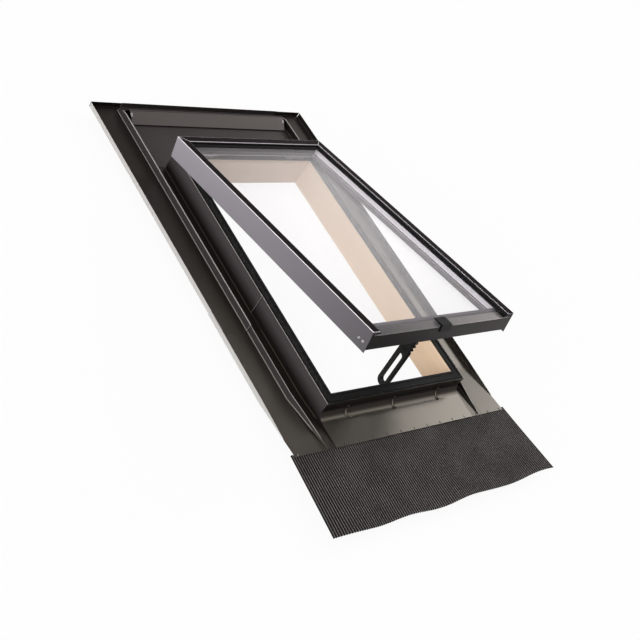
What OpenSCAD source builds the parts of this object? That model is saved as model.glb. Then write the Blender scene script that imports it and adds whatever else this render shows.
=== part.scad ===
// Top-hung roof skylight with folded flashing, pleated apron and slotted stay.
// X runs across the roof, Y up the slope and Z out of the roof, in millimetres.
// The origin is the centre of the frame on the plane of the roof battens.
// The sash is drawn open, propped on its stay.

/* [Frame] */
// Clear width between the side boards
opening_w = 398; // [360:1:440]
// Clear length between the head and sill boards
opening_l = 703; // [660:1:740]
// Thickness of the frame boards
board_t = 24; // [22:1:28]
// Height of the boards above the battens
board_above = 58; // [54:1:64]
// Depth of the boards below the battens
board_below = 24; // [23:1:40]
// Length of the tongue at each end of the head and sill boards
tongue_l = 8; // [6:1:10]
// Thickness of those tongues
tongue_t = 12; // [8:1:14]
// Height of the rim seal
rim_seal_h = 4; // [3:0.5:5]

/* [Flashing] */
// Thickness of the folded sheet
sheet_t = 0.8; // [0.6:0.1:1]
// Width of the gutter between the frame and the side rib
gutter_w = 40; // [36:1:46]
// Height of the side ribs
rib_h = 19; // [14:1:22]
// Width of the strip outside the rib
outer_w = 78; // [70:1:86]
// Height of the upturned outer edges
flange_h = 14; // [10:1:16]
// Length of the head panel
head_l = 211.5; // [195:0.5:230]
// Height of the upturned head edge
head_edge_h = 15; // [12:1:18]
// Length of the strip in front of the frame
sill_l = 82.5; // [74:0.5:95]
// Height of that strip above the side sheets
sill_rise = 15.2; // [12:0.2:18]
// Bend radius of the cove at the sill
cove_r = 19; // [15:1:22]
// Overlap of the upper side sheet on the lower one
lap_l = 40; // [30:1:50]
// Distance from the sill end of the frame to the lap
lap_from_sill = 250; // [220:1:280]
// Height of the folded bar on the head panel
head_bar_h = 21.6; // [16:0.2:24]

/* [Apron] */
// Length of the apron below the seam
apron_l = 187; // [150:1:210]
// How much further left than the sheets the apron ends
apron_flare_left = 10; // [6:1:45]
// How much further right than the sheets the apron ends
apron_flare_right = 45; // [14:1:45]
// Number of pleats
pleat_count = 110; // [80:1:120]
// Height of a pleat
pleat_h = 3.4; // [2:0.1:3.6]
// Thickness of the pleated sheet
apron_t = 0.6; // [0.4:0.1:0.8]

/* [Sash] */
// Opening angle that is drawn
open_angle = 13.44; // [6:0.01:14]
// Height of the side profiles
sash_h = 54; // [50:1:58]
// Width of the top face of the side profiles
sash_face_w = 20; // [18:1:22]
// Wall of the sash profiles
sash_wall = 1.6; // [1.4:0.1:2]
// Overhang of the sash past the frame at the sides
side_overhang = 7; // [6:0.5:9]
// Overhang of the sash past the frame at the front
front_overhang = 6.5; // [5:0.5:9]
// Height of the front rail below the outer pane
front_rail_h = 34.6; // [30:0.2:38]
// Depth of the front rail under the outer pane
front_rail_d = 26; // [24:1:28]
// Thickness of each pane
pane_t = 4; // [3:1:5]
// Gap between the panes
pane_gap = 12; // [10:1:14]
// Depth of the outer pane below the sash's top face
glass_drop = 8.4; // [7:0.2:10]
// Space between the rim seal and the sash ledge
seal_gap = 9.4; // [9:0.2:12]
// Width of the clip at the foot of the glass
clip_w = 33; // [24:1:40]

/* [Hinges] */
// Distance of each hinge's middle from the side board
hinge_inset = 49; // [42:1:80]
// Length of a hinge
hinge_l = 64; // [50:1:70]
// Radius of the hinge pin
hinge_pin_r = 2.5; // [2:0.1:2.8]
// Outer radius of the knuckles
knuckle_r = 4; // [3.8:0.1:4]

/* [Stay] */
// Thickness of the stay lever
stay_t = 10; // [8:0.5:12]
// Width of the stay lever
stay_w = 32; // [29:0.5:34]
// Width of the finger slot
slot_w = 15; // [12:0.5:16]
// Length of the finger slot
slot_l = 92; // [76:1:94]
// Radius of the catch peg
peg_r = 2.5; // [2:0.1:2.8]
// Height of the catch peg above the battens
peg_z = 32; // [28:1:38]
// Radius of the pivot pin on the sash
pivot_r = 2; // [1.6:0.1:2.2]

/* [Mounting] */
// Thickness of the mounting brackets
bracket_t = 2; // [1.5:0.1:3]
// Radius of the batten screw holes
bracket_hole_r = 2.75; // [2.2:0.05:3.5]
// Distance of the bracket holes from the frame's outer face
bracket_hole_out = 27; // [20:1:30]
// Distance of the brackets' middle from the ends of the frame
bracket_inset = 125.5; // [90:0.5:170]

/* [Hidden] */
$fn = 48;

// Clearances
run_gap = 0.05;
seal_air = 0.3;
slide_air = 0.3;
fit_air = 0.1;
over = 1;

// Frame places
half_w = opening_w / 2;
half_l = opening_l / 2;
out_w = half_w + board_t;
out_l = half_l + board_t;
rim_inset = 1;
rim_top = board_above + rim_seal_h;
rim_base_h = rim_seal_h * 0.6;
rim_w = board_t - rim_inset - seal_air;
ridge_w = 5;
ridge_gap = 3;

// Flashing places
sheet_z = bracket_t;
clad_top = board_above + 2;
rib_x = out_w + gutter_w;
edge_x = rib_x + outer_w;
head_y = out_l + head_l;
seam_y = -out_l - sill_l;
lap_y = -out_l + lap_from_sill;
seam_step_l = 47;
seam_step_y = lap_y + seam_step_l;
rib_t = 2 * sheet_t;
rib_cap_t = rib_t + 2 * sheet_t + 2 * fit_air;
rib_tail_in = 15;
rib_fade_l = 42;
rib_end_gap = 9;
ramp_l = 145;
ramp_y = seam_y + ramp_l;
ramp_rise = sill_rise - sheet_t - fit_air - 0.1;
flange_end_l = 45;
flange_end_y = seam_y + flange_end_l;
sill_z = sheet_z + sill_rise;
sill_half = out_w + 2 * sheet_t;
head_half = rib_x - 11;
head_lap = 8;
head_z = sheet_z + 2 * sheet_t;
dart_x = out_w * 0.664;
dart_r = 3.6;
bar_from_edge = 65;
bar_slope_l = 28;
bar_flat_l = 6;
bar_foot_l = 14;
bar_lift = 2.6;
bar_air = 2;
clip_pitch = 44;
seam_clip_w = 2.4;
seam_clip_l = 6;
seam_clip_h = 0.9;
clad_tab = 8;
bend_r = 2;

// Sash places, with the sash shut
ledge_z = rim_top + seal_gap;
glass_z = ledge_z + sash_wall;
cavity_z = glass_z + pane_t;
outer_z = cavity_z + pane_gap;
glass_top = outer_z + pane_t;
sash_top = glass_top + glass_drop;
rear_overhang = 3.5;
sash_half = out_w + side_overhang;
sash_rear = out_l + rear_overhang;
sash_front = -out_l - front_overhang;
sash_l = sash_rear - sash_front;
chamber_w = 12;
chamber_in = sash_half - chamber_w;
side_ledge_w = 25;
head_ledge_w = 34;
front_ledge_w = 42;
ledge_in = sash_half - side_ledge_w;
head_ledge_in = sash_rear - head_ledge_w;
front_ledge_in = sash_front + front_ledge_w;
head_face_w = sash_face_w + 2;
head_skirt_z = rim_top + 4;
lip_z = glass_top + 2;
glass_half = chamber_in - 1.5;
glass_rear = sash_rear - chamber_w - 1.5;
outer_front = sash_front + 0.5;
inner_front = sash_front + front_rail_d + 2;
spacer_w = 8;
gasket_foot = 6;
head_gasket_foot = 12;
seal_w = 6;
seal_out = 5;
cleat_l = 36;
cleat_h = 8.4;
cleat_in = 3.5;
rivet_in = [14, 27];
key_arm = 45;
key_h = 14;

// Hinge places
hinge_x = half_w - hinge_inset;
hinge_y = out_l - 3.5;
hinge_z = rim_top + 4.5;
leaf_t = 2;
sash_knuckle_l = 21;
knuckle_gap = 0.6;
leaf_screw_x = hinge_l / 2 - 10;
leaf_screw_in = 6;
leaf_front = half_l + 2.5;
leaf_rear = hinge_y + 2;
sash_leaf_rear = out_l - 15.5;

// Stay places: the peg and the pivot lie on one circle about the hinge,
// so the line between them turns by half of the sash's angle
peg_y = -half_l + peg_r + 1.5;
peg_rel = [hinge_y - peg_y, peg_z - hinge_z];
stay_circle = norm(peg_rel);
peg_angle = atan2(peg_rel[1], peg_rel[0]);
pivot_drop = 1.1;
pivot_shut_angle = -asin(pivot_drop / stay_circle);
pivot_angle = pivot_shut_angle + open_angle;
stay_tilt = (pivot_angle + peg_angle) / 2;
stay_reach = 2 * stay_circle * sin((pivot_angle - peg_angle) / 2);
pivot_shut = [hinge_y - stay_circle * cos(pivot_shut_angle), hinge_z - pivot_drop];
pivot_open = [hinge_y - stay_circle * cos(pivot_angle), hinge_z + stay_circle * sin(pivot_angle)];
eye_r = 5;
ear_air = 0.6;
ear_t = 2;
ear_x = stay_t / 2 + ear_air;
ear_r = 4.5;
pin_head_t = 1;
stay_in = peg_r + slide_air;
stay_out = stay_in + stay_w;
stay_mid = (stay_in + stay_out) / 2;
foot_z = -stay_reach + 7.7;
slot_foot_z = foot_z + 2;
hook_tip = -0.5;
hook_top = -stay_reach - peg_r - slide_air;
notch_r = 3.6;
notch_pitch = 11;
notch_top = -56;
catch_t = 1.5;
catch_half = 20;
catch_screw_x = 14;
catch_screw_up = 3;
stay_screw_x = 15;
screw_r = 1.5;
screw_head_r = 3.4;
screw_head_t = 1.2;
frame_screw_l = 16;

// Bracket places
bracket_y = out_l - bracket_inset;
bracket_w = 40;
bracket_leg = bracket_hole_out + 12;
bracket_drop = 22;
bracket_screw_z = -12;
bracket_screw_dy = 12;

// Colours
pine = [0.84, 0.72, 0.6];
sheet_colour = [0.24, 0.22, 0.21];
sash_colour = [0.5, 0.48, 0.49];
rubber = [0.06, 0.06, 0.06];
black_plastic = [0.08, 0.08, 0.08];
steel = [0.7, 0.7, 0.72];
pane_colour = [0.8, 0.9, 0.9, 0.35];

function unit(v) = v / norm(v);
function left_of(v) = [-v[1], v[0]];
function last(p) = len(p) - 1;
function heading(p, i) = unit(p[min(i + 1, last(p))] - p[min(i, last(p) - 1)]);
function mitre(a, b) = (left_of(a) + left_of(b)) / (1 + a * b);

// A line moved sideways by d, to its left where d is above zero
function moved_line(p, d) = [
    for (i = [0:last(p)]) p[i] + d * mitre(heading(p, max(i - 1, 0)), heading(p, i))
];

// One bend of radius r at corner b of the line a, b, c
function bend(a, b, c, r) =
    let (u = unit(b - a), v = unit(c - b), cross = u[0] * v[1] - u[1] * v[0])
    let (turn = atan2(cross, u * v), side = sign(cross), cut = r * tan(abs(turn) / 2))
    let (centre = b - cut * u + side * r * left_of(u), steps = max(2, ceil(abs(turn) / 15)))
    [for (k = [0:steps]) let (w = turn * k / steps)
        centre - side * r * (left_of(u) * cos(w) - u * sin(w))];

// A folded line with each corner bent to radius r
function folded(p, r) = concat(
    [p[0]],
    [for (i = [1:last(p) - 1]) each bend(p[i - 1], p[i], p[i + 1], r)],
    [p[last(p)]]
);

function reversed(p) = [for (i = [last(p):-1:0]) p[i]];

// Outline of a sheet that lies on one side of a folded line
module sheet_outline(line, t) {
    polygon(concat(line, reversed(moved_line(line, t))));
}

// Draws an outline given in Y and Z, and gives it a width along X
module along_x(width) {
    rotate([90, 0, 90]) linear_extrude(width, center = true) children();
}

// Draws an outline given in X and Z, from y0 to y1
module along_y(y0, y1) {
    translate([0, y1, 0]) rotate([90, 0, 0]) linear_extrude(y1 - y0) children();
}

// A box between two corners
module block(a, b) {
    translate(a) cube(b - a);
}

// A rectangle between two corners
module patch(a, b) {
    translate(a) square(b - a);
}

// A rectangular ring of given outer half sizes
module ring(hx, hy, w, z0, z1) {
    difference() {
        block([-hx, -hy, z0], [hx, hy, z1]);
        block([-hx + w, -hy + w, z0 - over], [hx - w, hy - w, z1 + over]);
    }
}

module mirrored(side) {
    mirror([side < 0 ? 1 : 0, 0, 0]) children();
}

// Turns what is drawn for the shut sash to the drawn opening
module on_sash() {
    translate([0, hinge_y, hinge_z]) rotate([-open_angle, 0, 0])
        translate([0, -hinge_y, -hinge_z]) children();
}

// Draws in the stay's own frame, with the pivot at its origin
module on_stay() {
    translate([0, pivot_open[0], pivot_open[1]]) rotate([-stay_tilt, 0, 0]) children();
}

// A pan head screw, head on z = 0 and shank downwards
module screw(shank) {
    cylinder(h = screw_head_t, r1 = screw_head_r, r2 = screw_head_r * 0.75);
    translate([0, 0, -shank]) cylinder(h = shank, r = screw_r);
}

// The hole that such a screw stands in
module screw_hole(depth) {
    translate([0, 0, -depth]) cylinder(h = depth + over, r = screw_r + run_gap);
}

// A headed pin along X
module headed_pin(r, half, head_r) {
    rotate([0, 90, 0]) cylinder(h = 2 * half, r = r, center = true);
    for (s = [-1, 1]) translate([s * (half + pin_head_t / 2), 0, 0])
        rotate([0, 90, 0]) cylinder(h = pin_head_t, r = head_r, center = true);
}

module at_catch_screws() {
    for (s = [-1, 1])
        translate([s * catch_screw_x, -half_l + catch_t, peg_z + catch_screw_up])
            rotate([-90, 0, 0]) children();
}

module at_frame_leaf_screws() {
    for (h = [-1, 1], s = [-1, 1])
        translate([h * hinge_x + s * leaf_screw_x, leaf_front + leaf_screw_in, board_above + leaf_t])
            children();
}

module at_sash_leaf_screws() {
    for (h = [-1, 1], s = [-1, 1])
        translate([h * hinge_x + s * leaf_screw_x, head_ledge_in + leaf_screw_in, ledge_z - leaf_t])
            mirror([0, 0, 1]) children();
}

module at_stay_bracket_screws() {
    for (s = [-1, 1])
        translate([s * stay_screw_x, front_ledge_in - leaf_screw_in, ledge_z - leaf_t])
            mirror([0, 0, 1]) children();
}

module at_bracket_screws() {
    for (s = [-1, 1], e = [-1, 1], d = [-1, 1])
        translate([s * (out_w + bracket_t), e * bracket_y + d * bracket_screw_dy, bracket_screw_z])
            rotate([0, s * 90, 0]) children();
}

module at_corner_rivets() {
    for (s = [-1, 1], d = rivet_in)
        translate([s * sash_half, sash_front + d, ledge_z - cleat_h / 2]) rotate([0, s * 90, 0]) children();
}

// Frame boards

module side_board(side) {
    color(pine) difference() {
        mirrored(side) block([half_w, -out_l, -board_below], [out_w, out_l, board_above]);
        for (e = [-1, 1]) mirrored(side) translate([half_w, e * (half_l + board_t / 2), 0])
            block([-over, -tongue_t / 2 - fit_air, -board_below - over],
                [tongue_l + fit_air, tongue_t / 2 + fit_air, board_above + over]);
        at_bracket_screws() screw_hole(14);
    }
}

module cross_board(end) {
    block([-half_w, end - board_t / 2, -board_below], [half_w, end + board_t / 2, board_above]);
    block([-half_w - tongue_l, end - tongue_t / 2, -board_below],
        [half_w + tongue_l, end + tongue_t / 2, board_above]);
}

module side_board_left() { side_board(-1); }

module side_board_right() { side_board(1); }

module head_board() {
    color(pine) difference() {
        cross_board(half_l + board_t / 2);
        at_frame_leaf_screws() screw_hole(frame_screw_l);
    }
}

module sill_board() {
    color(pine) difference() {
        cross_board(-half_l - board_t / 2);
        at_catch_screws() screw_hole(14);
    }
}

module rim_seal() {
    in_x = half_w + rim_inset;
    in_y = half_l + rim_inset;
    ridge_out = rim_w - ridge_gap;
    color(rubber) difference() {
        union() {
            ring(in_x + rim_w, in_y + rim_w, rim_w, board_above, board_above + rim_base_h);
            ring(in_x + ridge_w, in_y + ridge_w, ridge_w, board_above, rim_top);
            ring(in_x + ridge_out, in_y + ridge_out, ridge_w, board_above, rim_top);
        }
        for (h = [-1, 1]) translate([h * hinge_x, 0, 0])
            block([-hinge_l / 2 - fit_air, leaf_front - fit_air, board_above - over],
                [hinge_l / 2 + fit_air, out_l + over, rim_top + over]);
    }
}

// Flashing

// Long edge of a rib with a fading upper end
module upper_rib_outline() {
    z0 = sheet_z + sheet_t;
    fade_y = head_y - rib_end_gap - rib_fade_l;
    top = z0 + rib_h + sheet_t;
    polygon(concat(
        [[lap_y, z0], [lap_y, top]],
        [for (a = [0:9:90]) [fade_y + rib_fade_l * sin(a), z0 + sheet_t + (top - z0 - sheet_t) * cos(a)]],
        [[head_y - rib_end_gap, z0]]
    ));
}

module side_flashing_upper(side) {
    x0 = out_w + sheet_t;
    x1 = edge_x - sheet_t;
    z0 = sheet_z + sheet_t;
    color(sheet_colour) mirrored(side) difference() {
        union() {
            along_y(lap_y, head_y + sheet_t) sheet_outline(
                folded([[x0, clad_top], [x0, z0], [x1, z0], [x1, z0 + flange_h]], bend_r), sheet_t);
            translate([rib_x, 0, 0]) along_x(rib_cap_t) upper_rib_outline();
            block([head_half - head_lap, head_y, z0], [x1, head_y + sheet_t, z0 + flange_h]);
        }
        block([x0 - over, out_l + sheet_t, z0 + sheet_t],
            [x0 + bend_r + over, head_y + over, clad_top + over]);
        block([x0 - over, lap_y - over, z0 + bend_r + over], [x0 + bend_r, seam_step_y, clad_top + over]);
        block([rib_x - rib_t / 2 - fit_air, lap_y - over, sheet_z],
            [rib_x + rib_t / 2 + fit_air, lap_y + lap_l + over, sheet_z + rib_h + fit_air]);
    }
}

// Under side and upper side of the lower side sheets
function ramp_z(y) = sheet_z + ramp_rise * max(0, (ramp_y - y) / ramp_l);
function ramp_top(y) = ramp_z(y) + sheet_t * norm([ramp_l, ramp_rise]) / ramp_l;

// Rib of the lower sheet, whose tail turns in and runs out on the ramp
module lower_rib(lap_end) {
    foot_y = seam_y + 3;
    root = sheet_t / 2;
    top = sheet_z + rib_h;
    plan = [[rib_x, lap_end], [rib_x, ramp_y], [rib_x - rib_tail_in, foot_y]];
    intersection() {
        linear_extrude(top + over) sheet_outline(moved_line(plan, -rib_t / 2), rib_t);
        translate([rib_x, 0, 0]) along_x(4 * rib_tail_in) polygon([
            [lap_end + over, sheet_z + root], [lap_end + over, top], [ramp_y - 0.3 * ramp_l, top],
            [foot_y - over, ramp_z(foot_y) + 3 * sheet_t], [foot_y - over, ramp_z(foot_y - over) + root],
            [ramp_y, sheet_z + root]
        ]);
    }
}

module side_flashing_lower(side) {
    lap_end = lap_y + lap_l;
    root = sheet_t / 2;
    floor_line = [[lap_end, sheet_z], [ramp_y, sheet_z], [seam_y, ramp_z(seam_y)]];
    color(sheet_colour) mirrored(side) {
        translate([(out_w + edge_x) / 2, 0, 0]) along_x(edge_x - out_w) sheet_outline(floor_line, -sheet_t);
        translate([out_w + sheet_t / 2, 0, 0]) along_x(sheet_t) polygon([
            [seam_step_y + clad_tab, sheet_z + root], [seam_step_y + clad_tab, clad_top], [-out_l, clad_top],
            [-out_l, ramp_z(-out_l) + root], [ramp_y, sheet_z + root]
        ]);
        translate([edge_x - sheet_t / 2, 0, 0]) along_x(sheet_t) polygon([
            [lap_end, sheet_z + root], [lap_end, sheet_z + flange_h], [ramp_y, sheet_z + flange_h],
            [flange_end_y, ramp_z(flange_end_y) + 2 * sheet_t], [flange_end_y, ramp_z(flange_end_y) + root],
            [ramp_y, sheet_z + root]
        ]);
        lower_rib(lap_end);
    }
}

module side_flashing_left_upper() { side_flashing_upper(-1); }

module side_flashing_right_upper() { side_flashing_upper(1); }

module side_flashing_left_lower() { side_flashing_lower(-1); }

module side_flashing_right_lower() { side_flashing_lower(1); }

module head_flashing() {
    line = [[out_l, clad_top], [out_l, head_z], [head_y, head_z], [head_y, head_z + head_edge_h]];
    color(sheet_colour) difference() {
        along_x(2 * head_half) sheet_outline(folded(line, bend_r), sheet_t);
        for (s = [-1, 1]) mirrored(s)
            block([out_w + sheet_t, out_l - over, head_z - over],
                [head_half + over, out_l + bend_r + over, clad_top + over]);
    }
}

module head_bar() {
    floor_z = head_z + sheet_t;
    front_y = head_y - bar_from_edge;
    crest_y = front_y + bar_slope_l;
    back_y = crest_y + bar_flat_l;
    line = [
        [front_y, floor_z + bar_lift], [crest_y, floor_z + head_bar_h], [back_y, floor_z + head_bar_h],
        [back_y, floor_z], [back_y + bar_foot_l, floor_z]
    ];
    color(sheet_colour) along_x(2 * (head_half - bar_air)) sheet_outline(folded(line, bend_r / 2), sheet_t);
}

// A pressed dart that stiffens the cove, rooted in the middle of the sheet
module cove_dart() {
    root = sheet_t / 2;
    intersection() {
        translate([0, -out_l - cove_r, sill_z + cove_r]) rotate([0, 90, 0]) rotate([0, 0, -5])
            rotate_extrude(angle = 100) translate([cove_r - sheet_t, 0]) circle(dart_r);
        block([-dart_r - over, -out_l - 2 * cove_r, sill_z + root],
            [dart_r + over, -out_l - root, sill_z + 2 * cove_r]);
    }
}

module sill_flashing() {
    line = folded([[-out_l, clad_top], [-out_l, sill_z], [seam_y - sheet_t / 2, sill_z]], cove_r);
    end_air = 0.05;
    color(sheet_colour) {
        along_x(2 * sill_half) sheet_outline(line, -sheet_t);
        for (s = [-1, 1]) translate([s * (sill_half - sheet_t / 2), 0, 0]) along_x(sheet_t) polygon(concat(
            moved_line(line, -sheet_t / 2),
            [[seam_y, ramp_top(seam_y) + end_air], [-out_l - sheet_t / 2, ramp_top(-out_l) + end_air]]
        ));
        block([-sill_half, seam_y - sheet_t, sill_z - 2 * sheet_t], [sill_half, seam_y, sill_z + sheet_t]);
        for (s = [-1, 0, 1]) translate([s * dart_x, 0, 0]) cove_dart();
    }
}

// Pleated apron, a sheet that widens and sways as it comes down
apron_rows = 5;
apron_tuck = 8;
apron_start_left = 5;
apron_start_right = 12;
apron_top_z = ramp_z(seam_y + apron_tuck) - pleat_h / 2 - apron_t / 2 - seal_air;

function apron_left(v) = -edge_x - apron_start_left - (apron_flare_left - apron_start_left) * v;
function apron_right(v) = edge_x + apron_start_right + (apron_flare_right - apron_start_right) * v;
function apron_sway(x, v) = v * v * (3 * sin(x * 1.1 + 40) + 2 * sin(x * 2.3));
function apron_edge(x, v) = v * (8 * max(0, x / edge_x) + 2.5 * sin(x * 1.58 - 58));
function apron_point(i, j, lift) =
    let (v = j / apron_rows, part = i / (2 * pleat_count))
    let (x = apron_left(v) * (1 - part) + apron_right(v) * part)
    let (fold = (i % 2 == 0 ? -1 : 1) * pleat_h / 2)
    [x, seam_y + apron_tuck - (apron_l + apron_tuck) * v + apron_edge(x, v),
        apron_top_z - 4 * v + apron_sway(x, v) + fold + lift];

module apron() {
    n = 2 * pleat_count + 1;
    m = apron_rows + 1;
    points = [for (lift = [apron_t / 2, -apron_t / 2], j = [0:m - 1], i = [0:n - 1]) apron_point(i, j, lift)];
    function at(i, j, under) = under * n * m + j * n + i;
    function two(a, b, c, d) = [[a, b, c], [a, c, d]];
    faces = concat(
        [for (j = [0:m - 2], i = [0:n - 2])
            each two(at(i, j, 0), at(i + 1, j, 0), at(i + 1, j + 1, 0), at(i, j + 1, 0))],
        [for (j = [0:m - 2], i = [0:n - 2])
            each two(at(i, j, 1), at(i, j + 1, 1), at(i + 1, j + 1, 1), at(i + 1, j, 1))],
        [for (i = [0:n - 2]) each two(at(i, 0, 0), at(i, 0, 1), at(i + 1, 0, 1), at(i + 1, 0, 0))],
        [for (i = [0:n - 2])
            each two(at(i, m - 1, 0), at(i + 1, m - 1, 0), at(i + 1, m - 1, 1), at(i, m - 1, 1))],
        [for (j = [0:m - 2]) each two(at(0, j, 0), at(0, j + 1, 0), at(0, j + 1, 1), at(0, j, 1))],
        [for (j = [0:m - 2])
            each two(at(n - 1, j, 0), at(n - 1, j, 1), at(n - 1, j + 1, 1), at(n - 1, j + 1, 0))]
    );
    color(sheet_colour) polyhedron(points, faces);
}

// Clips that hold the apron, on the front strip and on the side sheets
module seam_clips() {
    y0 = seam_y + 1;
    y1 = y0 + seam_clip_l;
    reach = edge_x - 6;
    function foot(x, y) = abs(x) < sill_half ? sill_z + sheet_t : ramp_top(y);
    color(sheet_colour) for (s = [-1, 1], x = [clip_pitch / 2:clip_pitch:reach]) translate([s * x, 0, 0])
        along_x(seam_clip_w) polygon([
            [y0, foot(x, y0)], [y1, foot(x, y1)],
            [y1, foot(x, y1) + seam_clip_h], [y0, foot(x, y0) + seam_clip_h]
        ]);
}

// Mounting

module mounting_brackets() {
    color(steel) difference() {
        for (s = [-1, 1], e = [-1, 1]) mirrored(s) translate([out_w, e * bracket_y, 0]) {
            block([0, -bracket_w / 2, 0], [bracket_leg, bracket_w / 2, bracket_t]);
            block([0, -bracket_w / 2, -bracket_drop], [bracket_t, bracket_w / 2, bracket_t]);
        }
        for (s = [-1, 1], e = [-1, 1]) translate([s * (out_w + bracket_hole_out), e * bracket_y, -over])
            cylinder(h = bracket_t + 2 * over, r = bracket_hole_r);
        at_bracket_screws() screw_hole(bracket_t + over);
    }
}

module bracket_screws() {
    color(steel) at_bracket_screws() screw(12);
}

// Hinges

module frame_leaf(side) {
    gap = sash_knuckle_l / 2 + knuckle_gap;
    stands = [[-hinge_l / 2, -gap], [gap, hinge_l / 2]];
    color(steel) difference() {
        translate([side * hinge_x, 0, 0]) {
            block([-hinge_l / 2, leaf_front, board_above], [hinge_l / 2, leaf_rear, board_above + leaf_t]);
            for (r = stands) translate([(r[0] + r[1]) / 2, 0, 0]) along_x(r[1] - r[0]) {
                translate([hinge_y, hinge_z]) circle(knuckle_r);
                patch([leaf_rear - 4, board_above + leaf_t / 2], [leaf_rear, hinge_z]);
            }
        }
        translate([side * hinge_x, hinge_y, hinge_z]) rotate([0, 90, 0])
            cylinder(h = hinge_l + 2 * over, r = hinge_pin_r + run_gap, center = true);
        at_frame_leaf_screws() screw_hole(leaf_t + over);
    }
}

module sash_leaf(side) {
    color(steel) on_sash() difference() {
        translate([side * hinge_x, 0, 0]) {
            block([-hinge_l / 2, head_ledge_in, ledge_z - leaf_t], [hinge_l / 2, sash_leaf_rear, ledge_z]);
            along_x(sash_knuckle_l) {
                translate([hinge_y, hinge_z]) circle(knuckle_r);
                patch([sash_leaf_rear - over, ledge_z - leaf_t - over], [hinge_y, ledge_z]);
            }
        }
        translate([side * hinge_x, hinge_y, hinge_z]) rotate([0, 90, 0])
            cylinder(h = hinge_l + 2 * over, r = hinge_pin_r + run_gap, center = true);
        at_sash_leaf_screws() screw_hole(leaf_t + over);
    }
}

module hinge_pin(side) {
    color(steel) translate([side * hinge_x, hinge_y, hinge_z])
        headed_pin(hinge_pin_r, hinge_l / 2, knuckle_r - 0.4);
}

module hinge_frame_leaf_left() { frame_leaf(-1); }

module hinge_frame_leaf_right() { frame_leaf(1); }

module hinge_pin_left() { hinge_pin(-1); }

module hinge_pin_right() { hinge_pin(1); }

module hinge_sash_leaf_left() { sash_leaf(-1); }

module hinge_sash_leaf_right() { sash_leaf(1); }

module hinge_frame_screws() {
    color(steel) at_frame_leaf_screws() screw(frame_screw_l - over);
}

module hinge_sash_screws() {
    color(steel) on_sash() at_sash_leaf_screws() screw(leaf_t + sash_wall - fit_air);
}

// Sash

// Section of a side or head profile: u is the distance in from the outer face
module sash_section(face_w, ledge_w, skirt_z) {
    patch([0, skirt_z], [sash_wall, sash_top]);
    patch([0, sash_top - sash_wall], [face_w, sash_top]);
    patch([face_w - sash_wall, lip_z], [face_w, sash_top]);
    patch([chamber_w - sash_wall, ledge_z], [chamber_w, sash_top]);
    patch([0, ledge_z], [ledge_w, ledge_z + sash_wall]);
}

// Wedge past the mitre of the right rear corner, on the side's or the head's part
module mitre_wedge(of_side) {
    far = 60;
    tip = [sash_half + over, sash_rear + over];
    heel = tip - [far, far];
    translate([0, 0, sash_top - sash_h - over]) linear_extrude(sash_h + 2 * over)
        polygon([tip, heel, of_side ? [heel[0], tip[1]] : [tip[0], heel[1]]]);
}

module sash_side(side) {
    color(sash_colour) on_sash() difference() {
        mirrored(side) difference() {
            along_y(sash_front, sash_rear) translate([sash_half, 0]) mirror([1, 0])
                sash_section(sash_face_w, sash_half - ledge_in, sash_top - sash_h);
            mitre_wedge(true);
            block([ledge_in - over, sash_front - over, ledge_z - over],
                [chamber_in, front_ledge_in, ledge_z + sash_wall + over / 2]);
            block([ledge_in - over, sash_front - over, sash_top - sash_h - over],
                [sash_half - sash_wall, sash_front + sash_wall + fit_air, outer_z]);
        }
        at_corner_rivets() screw_hole(sash_wall + over);
    }
}

module sash_side_left() { sash_side(-1); }

module sash_side_right() { sash_side(1); }

module sash_head_rail() {
    color(sash_colour) on_sash() difference() {
        along_x(2 * sash_half) translate([sash_rear, 0]) mirror([1, 0])
            sash_section(head_face_w, sash_rear - head_ledge_in, head_skirt_z);
        for (s = [-1, 1]) mirrored(s) mitre_wedge(false);
        for (s = [-1, 1]) mirrored(s) block([ledge_in, head_ledge_in - over, ledge_z - over],
            [sash_half, sash_rear - (sash_half - ledge_in), ledge_z + sash_wall + over]);
        at_sash_leaf_screws() screw_hole(leaf_t + sash_wall + over);
    }
}

module sash_sill_rail() {
    top = outer_z;
    rear = sash_front + front_rail_d;
    color(sash_colour) on_sash() difference() {
        union() {
            along_x(2 * (sash_half - sash_wall))
                patch([sash_front, top - front_rail_h], [sash_front + sash_wall, top]);
            along_x(2 * chamber_in) {
                patch([sash_front, top - sash_wall], [rear, top]);
                patch([rear - sash_wall, ledge_z], [rear, top]);
                patch([sash_front, ledge_z], [front_ledge_in, ledge_z + sash_wall]);
            }
        }
        at_stay_bracket_screws() screw_hole(leaf_t + sash_wall + over);
    }
}

module corner_keys() {
    air = 0.4;
    x0 = chamber_in + sash_wall + air;
    x1 = sash_half - sash_wall - air;
    y0 = sash_rear - chamber_w + sash_wall + air;
    y1 = sash_rear - sash_wall - air;
    side_end = y1 - key_arm;
    head_end = x1 - key_arm;
    color(steel) on_sash() for (s = [-1, 1]) mirrored(s) translate([0, 0, glass_z + 3]) linear_extrude(key_h)
        polygon([[x0, y0], [x0, side_end], [x1, side_end], [x1, y1], [head_end, y1], [head_end, y0]]);
}

module corner_cleats() {
    color(steel) on_sash() difference() {
        for (s = [-1, 1]) mirrored(s)
            block([chamber_in - cleat_in, sash_front + sash_wall, ledge_z - cleat_h],
                [sash_half - sash_wall, sash_front + cleat_l, ledge_z]);
        at_corner_rivets() screw_hole(sash_wall + 8);
    }
}

module corner_rivets() {
    color(sash_colour) on_sash() at_corner_rivets() screw(sash_wall + 7);
}

module pane(front, z) {
    color(pane_colour) on_sash() block([-glass_half, front, z], [glass_half, glass_rear, z + pane_t]);
}

module glass_outer() { pane(outer_front, outer_z); }

module glass_inner() { pane(inner_front, glass_z); }

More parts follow.
